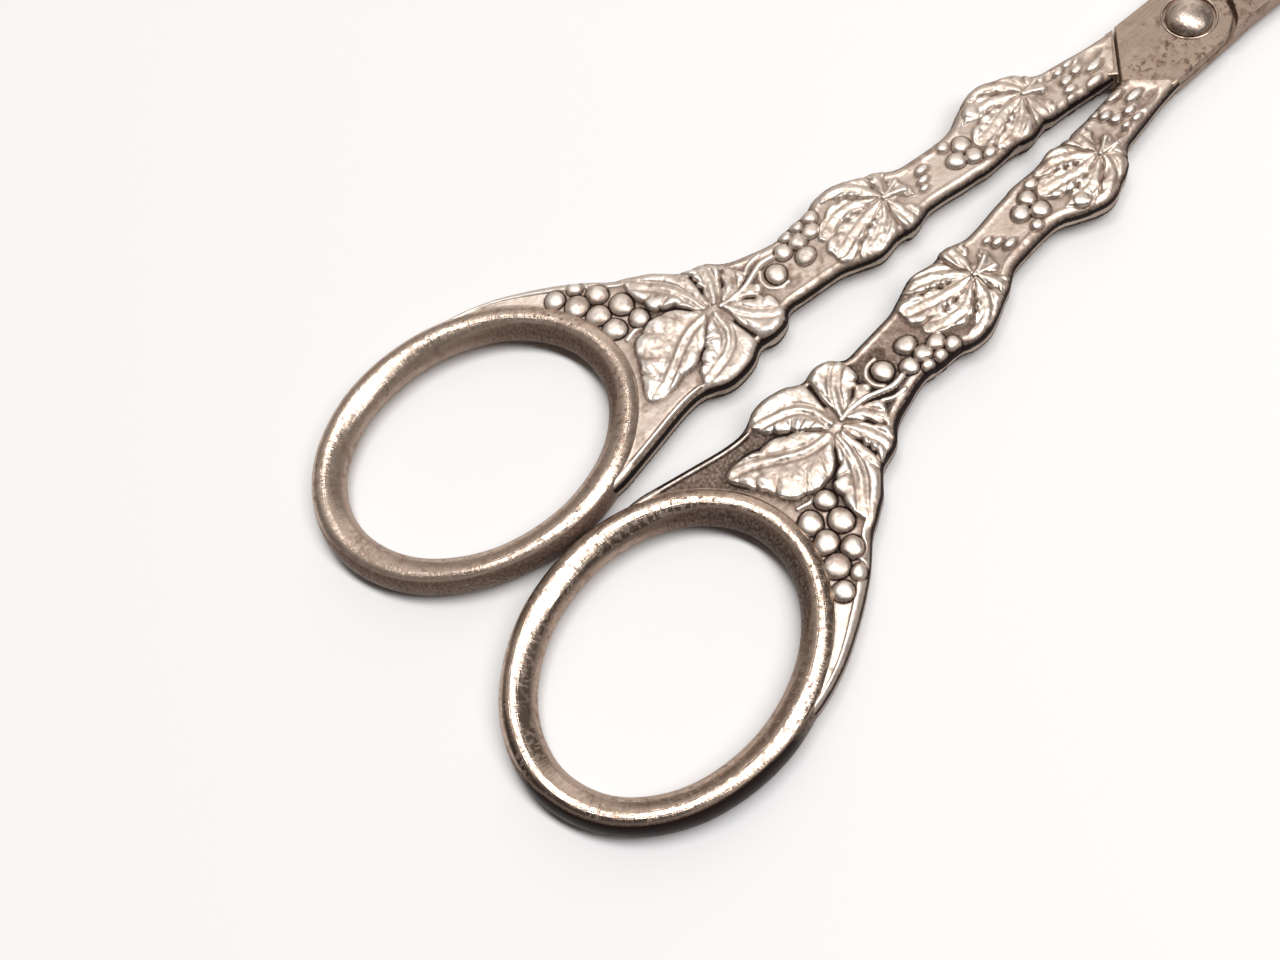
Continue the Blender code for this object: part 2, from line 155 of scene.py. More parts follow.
# Plan of the casting: its inner edge from the boss to the bow, and its outer edge back again
INNER_EDGE = (
    (0.45, -10.3), (0.6, -12), (0.85, -14), (1.1, -16), (1.25, -18), (1.55, -19), (1.3, -20),
    (1.1, -21), (1.25, -22), (1.55, -23), (1.5, -25), (1.5, -27), (1.7, -28), (1.95, -30),
    (2.3, -32), (2.5, -34), (2.3, -35), (2.0, -36), (1.9, -37), (2.15, -38), (2.2, -39),
    (2.0, -40), (1.9, -41), (2.1, -42), (2.5, -43), (2.9, -44), (3.3, -45), (3.5, -46),
    (3.7, -48), (3.9, -50), (4.05, -51.2), (3.9, -52), (3.1, -52.9), (2.75, -54), (2.7, -55),
    (2.95, -56.2), (2.8, -57), (2.2, -58), (1.85, -59.2), (1.7, -60.8), (1.9, -62),
    (2.4, -63), (2.8, -64), (2.95, -65), (2.85, -66.5), (2.6, -68), (2.2, -70), (1.8, -72),
    (1.4, -74), (1.05, -76), (1.15, -78), (2.2, -79.6),
)
OUTER_EDGE = (
    (27.5, -81.4), (28.3, -79.6), (28.3, -77.9), (27.85, -75.9), (27.15, -73.9), (26.25, -71.9),
    (25.05, -69.8), (23.65, -67.6), (21.95, -65.3), (20.7, -63.9), (19.8, -63.0), (19.05, -62.1),
    (18.4, -61), (17.6, -59.8), (16.9, -58.8), (15.9, -57.9), (15.0, -57), (14.6, -56),
    (14.3, -55), (13.8, -54.1),
    (12.9, -53.2), (12.2, -52), (11.7, -50.5), (11.2, -49), (10.9, -47.5), (11.1, -46),
    (11.15, -44.5), (11.2, -43.2), (11.6, -42), (11.75, -40.8), (11.6, -39.5), (11.1, -38.2),
    (10.5, -37), (10.0, -36), (9.6, -35.1), (8.9, -34.1), (8.3, -33), (8.0, -31),
    (7.8, -29), (7.75, -27.2), (8.0, -26), (8.5, -25), (8.95, -24), (9.4, -22.8),
    (9.7, -21.5), (9.5, -20.2), (8.9, -19), (8.5, -18), (7.9, -17), (7.0, -16.2),
    (6.25, -15.2), (5.9, -13.6), (5.6, -12), (5.2, -10), (4.9, -8), (4.7, -6.3),
)

# Leaves: each lobe is an outline, the line of its midrib, and how many puffs lie left and right of it
BOW_LEAF = (
    (((8.9, -56.2), (8.9, -54.6), (9.1, -53.2), (9.8, -52.5), (10.9, -52.6), (12.0, -53.1),
      (12.4, -53.7), (11.4, -54.3), (10.4, -55.1), (9.6, -56.0)),
     ((9.1, -56.0), (9.9, -54.5), (11.4, -53.4)), 2, 2),
    (((8.7, -56.3), (8.0, -55.2), (7.5, -54.0), (7.1, -52.9), (7.6, -52.1), (8.4, -52.2),
      (8.7, -53.4), (8.8, -55.0)),
     ((8.7, -56.0), (8.3, -54.4), (7.9, -52.6)), 2, 2),
    (((8.5, -56.7), (7.0, -56.6), (5.5, -56.5), (4.3, -56.4), (3.2, -56.2), (2.5, -55.2),
      (2.5, -53.9), (2.9, -52.9), (3.8, -52.4), (4.8, -52.2), (5.8, -52.2), (6.7, -52.7),
      (7.4, -53.8), (8.1, -55.1), (8.6, -56.1)),
     ((8.4, -56.4), (6.9, -55.6), (5.6, -54.7), (4.7, -53.6), (4.1, -52.6)), 2, 3),
    (((9.3, -56.9), (10.0, -55.7), (11.1, -54.6), (12.3, -53.9), (13.4, -53.8), (14.4, -54.4),
      (15.1, -55.4), (15.4, -56.5), (14.8, -56.9), (13.7, -56.5), (12.6, -56.7), (11.5, -56.8),
      (10.5, -57.2), (9.7, -57.4)),
     ((9.5, -56.9), (10.8, -56.1), (12.2, -55.4), (13.6, -55.1), (15.0, -55.6)), 3, 4),
    (((9.6, -57.3), (10.8, -57.1), (12.2, -56.8), (13.6, -56.7), (15.0, -56.9), (15.7, -57.4),
      (14.4, -57.7), (12.8, -58.0), (11.2, -58.1), (10.0, -57.9)),
     ((9.6, -57.5), (12.0, -57.3), (14.9, -57.2)), 0, 3),
    (((9.6, -57.6), (11.2, -57.6), (13.0, -57.5), (14.8, -57.3), (15.8, -57.4), (16.8, -58.2),
      (17.8, -59.2), (18.6, -60.4), (19.1, -61.5), (18.8, -62.3), (17.8, -62.0), (16.6, -62.2),
      (15.6, -62.2), (14.6, -62.0), (13.8, -61.9), (13.1, -61.5), (12.6, -60.6), (11.8, -59.8),
      (10.8, -59.2), (9.8, -58.6)),
     ((9.6, -58.0), (11.6, -58.3), (13.6, -58.9), (15.2, -59.9), (16.7, -61.2), (17.6, -61.9)), 0, 4),
    (((9.5, -58.2), (10.6, -59.1), (11.6, -59.9), (12.3, -60.9), (12.6, -62.4), (12.4, -63.8),
      (11.9, -65.1), (11.0, -66.0), (10.1, -66.5), (9.3, -66.7), (8.5, -67.4), (7.7, -67.7),
      (7.1, -68.3), (6.3, -68.7), (5.5, -68.6), (5.1, -67.8), (5.2, -66.6), (5.4, -65.2),
      (5.6, -63.8), (5.8, -62.5), (6.2, -61.4), (6.9, -60.3), (7.9, -59.3), (8.8, -58.5)),
     ((9.1, -58.4), (9.1, -60.0), (8.7, -61.6), (7.9, -63.2), (7.0, -64.7), (6.2, -66.2),
      (5.7, -67.8)), 5, 3),
    (((8.5, -57.1), (7.0, -56.9), (5.5, -56.7), (4.2, -56.6), (3.2, -56.7), (2.4, -57.3),
      (1.8, -58.6), (1.4, -60.2), (1.4, -61.7), (2.1, -62.9), (3.0, -63.6), (3.9, -63.4),
      (4.8, -62.7), (5.6, -61.9), (6.3, -61.0), (7.2, -60.1), (8.1, -59.1), (8.8, -58.1)),
     ((8.6, -57.6), (6.9, -57.8), (5.3, -58.6), (4.4, -59.9), (4.0, -61.4), (3.6, -63.1)), 5, 0),
)
MIDDLE_LEAF = (
    (((6.3, -36.3), (5.2, -35.2), (4.4, -34.2), (5.4, -33.8), (6.4, -34.2), (7.4, -34.1),
      (7.6, -35.2), (6.9, -36.2)),
     ((6.5, -36.2), (6.1, -35.2), (5.5, -34.2)), 2, 2),
    (((6.0, -36.6), (4.8, -35.8), (3.4, -34.9), (2.4, -35.0), (1.6, -36.2), (1.9, -37.5),
      (3.2, -37.7), (4.6, -37.4), (5.8, -37.0)),
     ((6.0, -36.7), (4.2, -36.4), (2.2, -36.3)), 0, 3),
    (((6.6, -36.4), (7.6, -35.4), (8.6, -34.4), (9.8, -34.6), (10.5, -35.8), (9.2, -36.3),
      (8.0, -36.7), (6.9, -36.9)),
     ((6.7, -36.5), (8.2, -35.8), (9.8, -35.3)), 2, 3),
    (((6.8, -36.8), (8.4, -36.7), (9.6, -36.2), (10.6, -36.2), (11.4, -37.6), (12.0, -39.4),
      (12.2, -41.2), (11.6, -42.4), (10.8, -41.9), (10.1, -40.6), (9.2, -39.3), (8.0, -38.2),
      (7.0, -37.5)),
     ((6.9, -37.0), (8.8, -37.6), (10.2, -38.8), (11.0, -40.4), (11.4, -41.8)), 0, 4),
    (((6.8, -37.3), (7.8, -38.2), (8.9, -39.3), (9.6, -40.6), (9.4, -41.9), (8.8, -43.2),
      (7.8, -44.4), (6.9, -44.5), (6.8, -43.2), (7.1, -41.4), (7.0, -39.4)),
     ((6.8, -37.4), (8.0, -39.3), (8.3, -41.3), (7.6, -43.6)), 4, 3),
    (((6.6, -37.2), (7.0, -39.2), (7.2, -41.2), (7.0, -42.9), (6.5, -44.3), (5.8, -44.9),
      (5.0, -44.7), (4.0, -44.9), (3.2, -44.0), (3.7, -42.8), (4.5, -41.3), (5.3, -39.3),
      (6.0, -37.4)),
     ((6.3, -37.4), (6.1, -39.6), (5.5, -41.9), (4.8, -44.0)), 4, 3),
    (((6.0, -37.1), (4.4, -37.5), (3.0, -38.0), (1.8, -39.2), (1.6, -40.6), (1.9, -42.0),
      (2.9, -43.0), (3.7, -42.4), (4.5, -41.1), (5.3, -39.2), (6.1, -37.6)),
     ((5.9, -37.2), (4.5, -38.4), (3.4, -40.1), (2.8, -42.0)), 4, 0),
)
UPPER_LEAF = (
    (((5.0, -17.9), (4.2, -17.2), (3.6, -16.4), (4.4, -15.9), (5.4, -16.2), (6.4, -16.1),
      (7.2, -16.3), (6.6, -17.2), (5.8, -17.9)),
     ((5.3, -17.8), (5.0, -17.0), (4.4, -16.2)), 2, 2),
    (((4.8, -18.4), (3.8, -17.5), (2.6, -16.9), (1.2, -17.4), (0.9, -18.8), (1.4, -19.9),
      (2.2, -20.0), (3.4, -19.4), (4.6, -18.8)),
     ((4.8, -18.5), (3.2, -18.4), (1.5, -18.5)), 0, 3),
    (((5.6, -18.2), (6.3, -17.2), (7.2, -16.7), (8.2, -16.8), (9.0, -17.8), (9.6, -19.2),
      (10.1, -20.8), (10.1, -22.4), (9.4, -23.8), (8.8, -23.0), (8.3, -21.6), (7.4, -20.2),
      (6.4, -19.1), (5.7, -18.7)),
     ((5.7, -18.3), (7.2, -18.8), (8.4, -20.0), (9.1, -21.6), (9.3, -23.2)), 0, 3),
    (((5.5, -18.6), (6.5, -19.3), (7.5, -20.4), (8.3, -21.8), (8.5, -23.0), (8.0, -24.1),
      (7.1, -25.1), (6.6, -24.2), (6.3, -22.6), (5.9, -20.8)),
     ((5.6, -18.8), (6.8, -20.6), (7.3, -22.4), (7.2, -24.2)), 3, 3),
    (((5.3, -18.8), (5.9, -20.6), (6.3, -22.6), (6.1, -24.3), (5.5, -25.3), (4.6, -25.9),
      (3.7, -25.6), (3.1, -24.5), (3.7, -22.6), (4.4, -20.6), (4.9, -19.0)),
     ((5.2, -18.9), (5.1, -21.2), (4.6, -23.4), (4.3, -25.2)), 4, 4),
    (((4.9, -18.7), (3.4, -19.5), (2.0, -20.1), (0.9, -21.1), (1.0, -22.4), (1.4, -23.8),
      (2.4, -24.7), (3.1, -24.1), (3.7, -22.8), (4.4, -21.0), (5.0, -19.4)),
     ((4.9, -18.8), (3.5, -20.4), (2.5, -22.2), (2.2, -24.0)), 4, 2),
)
HUBS = ((8.9, -57.3, 2.5), (6.5, -36.8, 1.7), (5.2, -18.4, 1.4))

# Grapes and beads: place, radius and stretch along the arm
GRAPES = (
    (13.8, -63.3, 1.05, 1.0), (16.3, -63.6, 1.25, 1.0), (19.0, -64.7, 1.15, 1.0),
    (14.6, -65.9, 1.22, 1.0), (17.0, -66.1, 1.22, 1.0), (19.4, -67.0, 1.28, 1.0),
    (21.6, -68.2, 1.05, 1.0), (21.2, -65.9, 0.8, 1.0), (7.7, -50.2, 1.1, 1.0),
    (7.2, -46.7, 0.98, 1.1), (9.1, -48.0, 0.95, 1.0), (9.0, -46.1, 0.92, 1.1),
    (10.4, -46.7, 0.72, 1.0), (9.0, -44.4, 0.88, 1.1), (10.4, -45.1, 0.72, 1.0),
    (10.3, -43.4, 0.85, 1.0), (4.5, -28.5, 0.95, 1.05), (5.5, -26.9, 0.92, 1.1),
    (3.7, -26.9, 0.85, 1.1), (6.6, -28.4, 0.6, 1.1), (7.6, -23.4, 0.85, 1.15), (2.8, -25.5, 0.62, 1.2),
    (2.7, -10.9, 0.5, 2.1), (1.3, -12.25, 0.5, 2.3), (4.75, -12.6, 0.36, 2.0), (3.6, -12.5, 0.42, 1.8),
    (3.4, -14.1, 0.46, 1.7), (2.4, -14.6, 0.46, 1.6), (1.5, -15.3, 0.42, 1.6), (4.65, -14.0, 0.36, 1.5),
    (6.2, -31.7, 0.45, 1.8), (5.2, -32.4, 0.4, 1.8), (4.4, -33.0, 0.36, 1.6),
    (2.0, -19.4, 0.42, 1.5), (2.6, -20.8, 0.4, 1.5), (2.6, -22.0, 0.36, 1.4), (2.4, -23.2, 0.38, 1.4),
)

# Hollows: place, half width, half length and depth
DENTS = (
    (3.9, -10.3, 0.9, 1.9, 0.3), (5.0, -14.9, 0.6, 1.0, 0.2),
    (6.0, -33.2, 1.4, 1.2, 0.12), (6.0, -49.5, 1.0, 1.4, 0.1),
)

# Stems, curls and folds: a line, its half width and its top level
STEMS = (
    (((6.2, -49.9), (6.3, -51.0), (7.1, -51.8), (8.2, -51.8), (9.0, -51.2)), 0.3, 1.4),
    (((9.4, -49.2), (9.6, -50.6), (9.2, -52.0), (8.75, -53.4), (8.65, -55.0), (8.8, -56.6)), 0.3, 1.72),
    (((10.6, -50.0), (10.5, -51.4), (10.0, -52.4)), 0.25, 1.5),
    (((20.2, -64.9), (21.0, -64.8), (21.6, -65.4), (21.4, -66.2)), 0.22, 1.5),
    (((12.6, -62.9), (13.0, -64.4), (12.7, -65.8)), 0.22, 1.45),
    (((4.3, -16.6), (4.9, -17.6), (5.3, -18.4)), 0.28, 1.75),
    (((5.6, -16.3), (5.4, -17.4), (5.3, -18.4)), 0.25, 1.72),
    (((5.6, -34.6), (6.1, -35.6), (6.4, -36.8)), 0.3, 1.76),
    (((7.0, -34.6), (6.7, -35.7), (6.4, -36.8)), 0.27, 1.74),
)

# Grooves: a line, its half width and its depth
GROOVES = (
    (((3.35, -64.0), (3.3, -66.0), (3.0, -68.0), (2.6, -70.0), (2.2, -72.0), (1.8, -74.0)), 0.1, 0.16),
    (((3.85, -64.2), (3.8, -66.0), (3.5, -68.0), (3.1, -70.0), (2.7, -72.0), (2.3, -74.0)), 0.1, 0.14),
)


def smooth_line(points, step, closed=False):
    """A smooth curve through the points, cut to equal steps."""
    p = np.array(points, float)
    if closed:
        p = np.vstack([p[-1], p, p[0], p[1]])
    else:
        p = np.vstack([2 * p[0] - p[1], p, 2 * p[-1] - p[-2]])
    fine = []
    for a, b, c, d in zip(p, p[1:], p[2:], p[3:]):
        for t in np.arange(0, 1, 0.125):
            fine.append(0.5 * (2 * b + (c - a) * t + (2 * a - 5 * b + 4 * c - d) * t * t
                               + (3 * b - a - 3 * c + d) * t ** 3))
    fine.append(p[-2])
    fine = np.array(fine)
    reach = np.concatenate([[0], np.cumsum(np.linalg.norm(np.diff(fine, axis=0), axis=1))])
    count = max(int(round(reach[-1] / step)), 2)
    at = np.linspace(0, reach[-1], count + 1)
    line = np.stack([np.interp(at, reach, fine[:, k]) for k in (0, 1)], axis=1)
    return line[:-1] if closed else line


def line_distance(places, line, closed=False):
    """Distance from each place to a line, and how far along it the nearest point lies."""
    best = np.full(len(places), 1e9)
    along = np.zeros(len(places))
    ends = np.vstack([line[1:], line[:1]]) if closed else line[1:]
    run = 0.0
    for a, b in zip(line, ends):
        edge = b - a
        length = np.hypot(*edge)
        t = np.clip(((places - a) @ edge) / length ** 2, 0, 1)
        gap = np.hypot(*(places - a - t[:, None] * edge).T)
        nearer = gap < best
        best[nearer] = gap[nearer]
        along[nearer] = run + t[nearer] * length
        run += length
    return best, along / run


def inside(places, loop):
    """Which places lie inside a closed loop."""
    x, y = places.T
    crossed = np.zeros(len(places), bool)
    for (ax, ay), (bx, by) in zip(loop, np.roll(loop, -1, axis=0)):
        if ay != by:
            span = (ay > y) != (by > y)
            crossed ^= span & (x < (bx - ax) * (y - ay) / (by - ay) + ax)
    return crossed


def rise(value, width):
    """Climbs from 0 at value 0 to 1 at the width, with soft ends."""
    t = np.clip(value / width, 0, 1)
    return t * t * (3 - 2 * t)


def soft_max(a, b, blend):
    """The higher of two heights, with the crease between them filled a little."""
    h = np.clip(0.5 + 0.5 * (a - b) / blend, 0, 1)
    return b + (a - b) * h + blend * h * (1 - h)


def ripple(places, size, seed):
    """Smooth unevenness between -1 and 1, with bumps of about the given size."""
    cell = places / size + seed * 17.3
    base = np.floor(cell)
    part = cell - base
    part = part * part * (3 - 2 * part)
    total = 0
    for dx in (0, 1):
        for dy in (0, 1):
            corner = base + (dx, dy)
            value = np.sin(corner[:, 0] * 127.1 + corner[:, 1] * 311.7 + seed * 74.7) * 43758.5453
            value = (value - np.floor(value)) * 2 - 1
            wx = part[:, 0] if dx else 1 - part[:, 0]
            wy = part[:, 1] if dy else 1 - part[:, 1]
            total = total + value * wx * wy
    return total


def soft_cap(height, top):
    """Heights kept under a top level, softly."""
    return top - 0.05 * np.logaddexp(0, (top - height) / 0.05)


def outward(line):
    """Unit steps away from a closed line, to the right of its run."""
    ahead = np.roll(line, -1, axis=0) - np.roll(line, 1, axis=0)
    return np.stack([ahead[:, 1], -ahead[:, 0]], axis=1) / np.hypot(*ahead.T)[:, None]


def bow_line(angle):
    """Points of the bow's oval, for angles from its front end."""
    long_side = BOW_LONG / 2 * np.cos(angle)
    wide_side = BOW_WIDE / 2 * np.sin(angle)
    x = BOW_SIDE - long_side * math.sin(BOW_LEAN) - wide_side * math.cos(BOW_LEAN)
    y = -BOW_BACK + long_side * math.cos(BOW_LEAN) - wide_side * math.sin(BOW_LEAN)
    return np.stack([x, y], axis=-1)


def casting_loop():
    """The casting's plan: down the inner edge, over the bow's centre line, up the outer edge."""
    inner = smooth_line(INNER_EDGE, EDGE_STEP)
    outer = smooth_line(OUTER_EDGE, EDGE_STEP)
    bow_part = smooth_line(bow_line(np.radians(np.linspace(*WEB_JOIN, 44))), EDGE_STEP)
    shoulder = smooth_line((outer[-1], inner[0]), EDGE_STEP)
    return np.vstack([inner[:-1], bow_part[1:-1], outer[:-1], shoulder[:-1]]), inner, outer


def beside(places, line):
    """Distance to a line, the share of its length reached, the side (left 1, right -1) and its run."""
    gap, along = line_distance(places, line)
    spot = np.clip((along * (len(line) - 1)).astype(int), 0, len(line) - 2)
    ahead = line[spot + 1] - line[spot]
    off = places - line[spot]
    side = np.where(ahead[:, 0] * off[:, 1] - ahead[:, 1] * off[:, 0] > 0, 1, -1)
    return gap, along, side, ahead


def puffs(along, share, side, left, right):
    """Puffs between slanting side veins: 1 on each puff and 0 on the veins, and where there are none."""
    cells = np.where(side > 0, left, right)
    drift = 0.16 * np.sin(9.0 * along + 2.1 * cells)
    wave = np.abs(np.sin(math.pi * (along * cells - 0.5 * share + 0.35 + drift))) ** 0.6
    return np.where(cells > 0, wave, 0.6)


def add_lobe(places, height, lobe, crest):
    """Raises one lobe of a leaf: it tucks under on its tip side and rolls up, puffed, on its bow side."""
    outline, rib, left, right = lobe
    line = smooth_line(rib, 0.2)
    loop = smooth_line(outline, 0.1, closed=True)
    area = np.sum(loop[:, 0] * np.roll(loop[:, 1], -1) - np.roll(loop[:, 0], -1) * loop[:, 1])
    _, along, side, _ = beside(loop, line)
    wave = (puffs(along, 1.0, side, left, right) - 0.6) * rise(along - 0.15, 0.2)
    loop = loop + outward(loop) * (math.copysign(0.3, area) * wave)[:, None]
    low, high = loop.min(axis=0) - 0.1, loop.max(axis=0) + 0.1
    near = np.flatnonzero(np.all((places > low) & (places < high), axis=1))
    near = near[inside(places[near], loop)]
    here = places[near]
    depth, _ = line_distance(here, loop, closed=True)
    aside, along, side, ahead = beside(here, line)
    width = aside + depth
    share = aside / (width + 1e-6)
    wide = np.clip(width / 1.5, 0.25, 1)
    fold = puffs(along, share, side, left, right)
    bowward = -side * ahead[:, 0] / np.hypot(*ahead.T)
    top = crest - 0.34 - 0.1 * along ** 2 + 0.13 * bowward * share * wide
    top += wide * 0.2 * np.sin(math.pi * share ** 1.3) ** 0.8
    top += wide * (0.15 + 0.09 * bowward) * (fold - 0.5) * rise(share - 0.3, 0.4)
    top += 0.2 * np.exp(-(aside / 0.24) ** 2) * (1 - 0.5 * along)
    top -= 0.09 * np.exp(-((aside - 0.55) / 0.2) ** 2)
    top += 0.045 * ripple(here, 1.1, 3.0) + 0.03 * ripple(here, 0.5, 5.0) + 0.014 * ripple(here, 0.28, 9.0)
    lip = rise(depth + 0.04, 0.26) ** 0.8
    height[near] += np.maximum(top - height[near], 0.04) * lip


def add_grape(places, height, grape, seat):
    """Raises one grape out of the panel: a low dome with a crisp foot and a fine crease round it."""
    x, y, radius, stretch = grape
    off = (places - (x, y)) / (1, stretch)
    reach = np.hypot(*off.T)
    turn = np.arctan2(off[:, 1], off[:, 0])
    reach = reach * (1 + 0.035 * np.sin(2 * turn + 3 * x) + 0.025 * np.sin(3 * turn + 5 * y))
    height -= 0.24 * min(radius, 1.0) * np.exp(-((reach - radius - 0.04) / 0.1) ** 2)
    near = reach < radius
    share = reach[near] / radius
    dome = seat + 0.26 * (1 - share ** 5) ** 0.5 + 0.16 * min(radius, 1.1) * (1 - share ** 2)
    dome += 0.02 * ripple(places[near], 0.7, 7.0)
    height[near] = np.maximum(height[near], dome)


def casting_height(places, inner, outer):
    """Height of the casting's face over each place, and its distance to the free edges."""
    from_inner, _ = line_distance(places, inner[::4])
    from_outer, _ = line_distance(places, outer[::4])
    x, y = places.T
    oval = bow_line(np.linspace(0, 2 * math.pi, 240, endpoint=False))
    from_bow, _ = line_distance(places, oval, closed=True)
    web = rise(-y - 50, 6)
    width_in = 0.95 - 0.1 * web
    width_out = 1.15 - 0.15 * web - 0.4 * rise(-y - 66, 9)
    soft = 0.4 - 0.2 * web
    ridge_in = 1 - rise(from_inner - width_in + soft / 2, soft)
    ridge_out = 1 - rise(from_outer - width_out + soft / 2, soft)
    ridge = np.maximum(ridge_in, ridge_out)
    by_bow = rise(-y - 64, 2)
    rim = np.exp(-((from_bow - RIM_AT) / RIM_HALF) ** 2) * by_bow
    grain = 0.008 * ripple(places, 0.35, 1.0) + 0.014 * ripple(places, 1.4, 2.0)
    height = PANEL + (RIDGE - PANEL) * ridge * (0.6 + 0.4 * web) + grain * (1 - 0.6 * ridge)
    height = np.maximum(height, PANEL + (RIM - PANEL) * rim)
    height -= SEAM_DEPTH * np.exp(-((from_bow - SEAM_AT) / SEAM_HALF) ** 2) * by_bow
    end = y - END_SLOPE * (x - 0.45)
    height = height + (END_BAND - height) * rise(end + 12.6, 2.0)
    height = height - (END_BAND - BOSS_TOP - 0.02) * rise(end + 10.5, 0.4)
    for dent_x, dent_y, wide, long, depth in DENTS:
        reach = np.hypot((x - dent_x) / wide, (y - dent_y) / long)
        height -= depth * (1 - rise(reach - 0.35, 0.65))
    for line, half_width, depth in GROOVES:
        gap, _ = line_distance(places, smooth_line(line, 0.5))
        height -= depth * np.exp(-(gap / half_width) ** 2)
    for line, half_width, level in STEMS:
        gap, _ = line_distance(places, smooth_line(line, 0.2))
        round_top = level - half_width + np.sqrt(np.maximum(half_width ** 2 - gap ** 2, 0))
        height = np.where(gap < half_width, soft_max(round_top, height, 0.05), height)
    for grape in GRAPES:
        add_grape(places, height, grape, PANEL + 0.05)
    for leaf, (hub_x, hub_y, reach) in zip((BOW_LEAF, MIDDLE_LEAF, UPPER_LEAF), HUBS):
        gap = np.hypot(x - hub_x, y - hub_y)
        height += np.maximum(LEAF_BED - height, 0) * (1 - rise(gap - reach + 0.5, 0.5))
        for number, lobe in enumerate(leaf):
            add_lobe(places, height, lobe, LEAF_TOP + 0.03 * (number % 3))
        height += 0.1 * np.exp(-(gap / 0.5) ** 2)
    under = np.sqrt(np.maximum(BOW_TUBE ** 2 - from_bow ** 2, 0)) - UNDER_BOW
    height = np.where(from_bow < BOW_COVER, np.minimum(height, under), height)
    edge = np.minimum(from_inner, from_outer)
    t = np.clip(1 - edge / EDGE_ROUND, 0, 1)
    height = height - EDGE_DROP * (1 - np.sqrt(1 - t * t * 0.999))
    return soft_cap(height, CREST), edge


def hex_grid(loop, step):
    """Evenly spread points inside the loop, a little away from it."""
    low, high = loop.min(axis=0), loop.max(axis=0)
    rows = np.arange(low[1], high[1], step * math.sqrt(0.75))
    cols = np.arange(low[0], high[0], step)
    grid = np.array([(x + (j % 2) * step / 2, y) for j, y in enumerate(rows) for x in cols])
    grid = grid[inside(grid, loop)]
    gap = np.full(len(grid), 1e9)
    for spot in loop:
        near = np.abs(grid[:, 1] - spot[1]) < step
        gap[near] = np.minimum(gap[near], np.hypot(*(grid[near] - spot).T))
    return grid[gap > step * 0.6]


def triangles(loop, extra):
    """Triangles over the loop and the points inside it."""
    places = np.vstack([loop, extra])
    ring = [(i, (i + 1) % len(loop)) for i in range(len(loop))]
    _, _, faces, origin, _, _ = delaunay_2d_cdt([Vector(p) for p in places], ring, [], 1, 1e-6, True)
    keep = [group[0] if group else -1 for group in origin]
    faces = np.array([[keep[i] for i in face] for face in faces])
    return faces[inside(places[faces].mean(axis=1), loop)]


def cavity(height, faces):
    """How far each point lies below (above 0) or above (below 0) its surroundings."""
    a = np.concatenate([faces[:, 0], faces[:, 1], faces[:, 2]])
    b = np.concatenate([faces[:, 1], faces[:, 2], faces[:, 0]])
    count = np.bincount(a, minlength=len(height)) + np.bincount(b, minlength=len(height))
    smooth = height.copy()
    for number in range(70):
        total = np.bincount(a, smooth[b], len(height)) + np.bincount(b, smooth[a], len(height))
        smooth = total / np.maximum(count, 1)
        if number == 12:
            near = smooth
    return 0.7 * (near - height) + 0.45 * (smooth - height)


def mesh_object(name, points, faces, side, marks=None, flow=None):
    """An object from points in the arm's frame; side is 1 for the right arm and -1 for the left."""
    points = np.array(points, float)
    flow = points if flow is None else flow
    points = points * (side, 1, 1) * MM + PIVOT
    mesh = bpy.data.meshes.new(name)
    order = [tuple(face)[::side] for face in faces]
    mesh.from_pydata(points.tolist(), [], order)
    if marks is not None:
        set_marks(mesh, marks)
    set_flow(mesh, flow)
    mesh.shade_smooth()
    return placed(name, mesh)


def placed(name, content):
    """A new object in the scene, from a mesh, lamp or camera."""
    thing = bpy.data.objects.new(name, content)
    bpy.context.scene.collection.objects.link(thing)
    return thing


def set_marks(mesh, marks):
    """Keeps how brown each point is, from tarnish and from painted shade; below 0 it is rubbed bright."""
    kept = mesh.attributes.new("cavity", "FLOAT", "POINT")
    kept.data.foreach_set("value", np.asarray(marks, np.float32))


def set_flow(mesh, flow):
    """Keeps where each point lies across, along and above the metal's grain, in millimetres."""
    kept = mesh.attributes.new("flow", "FLOAT_VECTOR", "POINT")
    kept.data.foreach_set("vector", np.ravel(flow).astype(np.float32))


def patina_and_shade(places, height, edge, flat, side):
    """How brown the casting is: tarnish in hollows and low panels, tarnish and painted shade along its
    edges, and painted shade round each grape.
    """
    x, y = places.T
    near = rise(-y - 44, 12)
    low = np.clip(1.38 - height, 0, 0.18) * (0.5 - 0.4 * rise(x - 12, 5) * rise(-y - 60, 6))
    if side > 0:
        low = low * (1.4 + 1.0 * rise(-y - 36, 4) * rise(y + 56, 4))
    low = low * (0.7 + 0.3 * near)
    # Brown along the edges: partly tarnish, partly painted shade for the rounded edges' dark reflections.
    border = WALL_TARNISH_AND_SHADE * (1 - rise(edge, 1.0)) * (1 - 0.8 * rise(x - 18, 4))
    mark = (0.45 + 0.45 * near) * cavity(height, flat) + border + low
    mark += 0.05 * near * np.maximum(ripple(places, 1.5, 11.0), 0) * rise(height - 1.45, 0.1)
    # Painted shade on each grape's outer slopes, ringing its brighter top.
    for grape_x, grape_y, radius, stretch in GRAPES:
        reach = np.hypot(x - grape_x, (y - grape_y) / stretch) / radius
        mark += (0.02 + 0.06 * near) * rise(reach - 0.4, 0.35) * (1 - rise(reach - 1.0, 0.1))
    if side > 0:
        mark += 0.09 * rise(9.5 - x, 3) * rise(-y - 61, 4)
    return mark


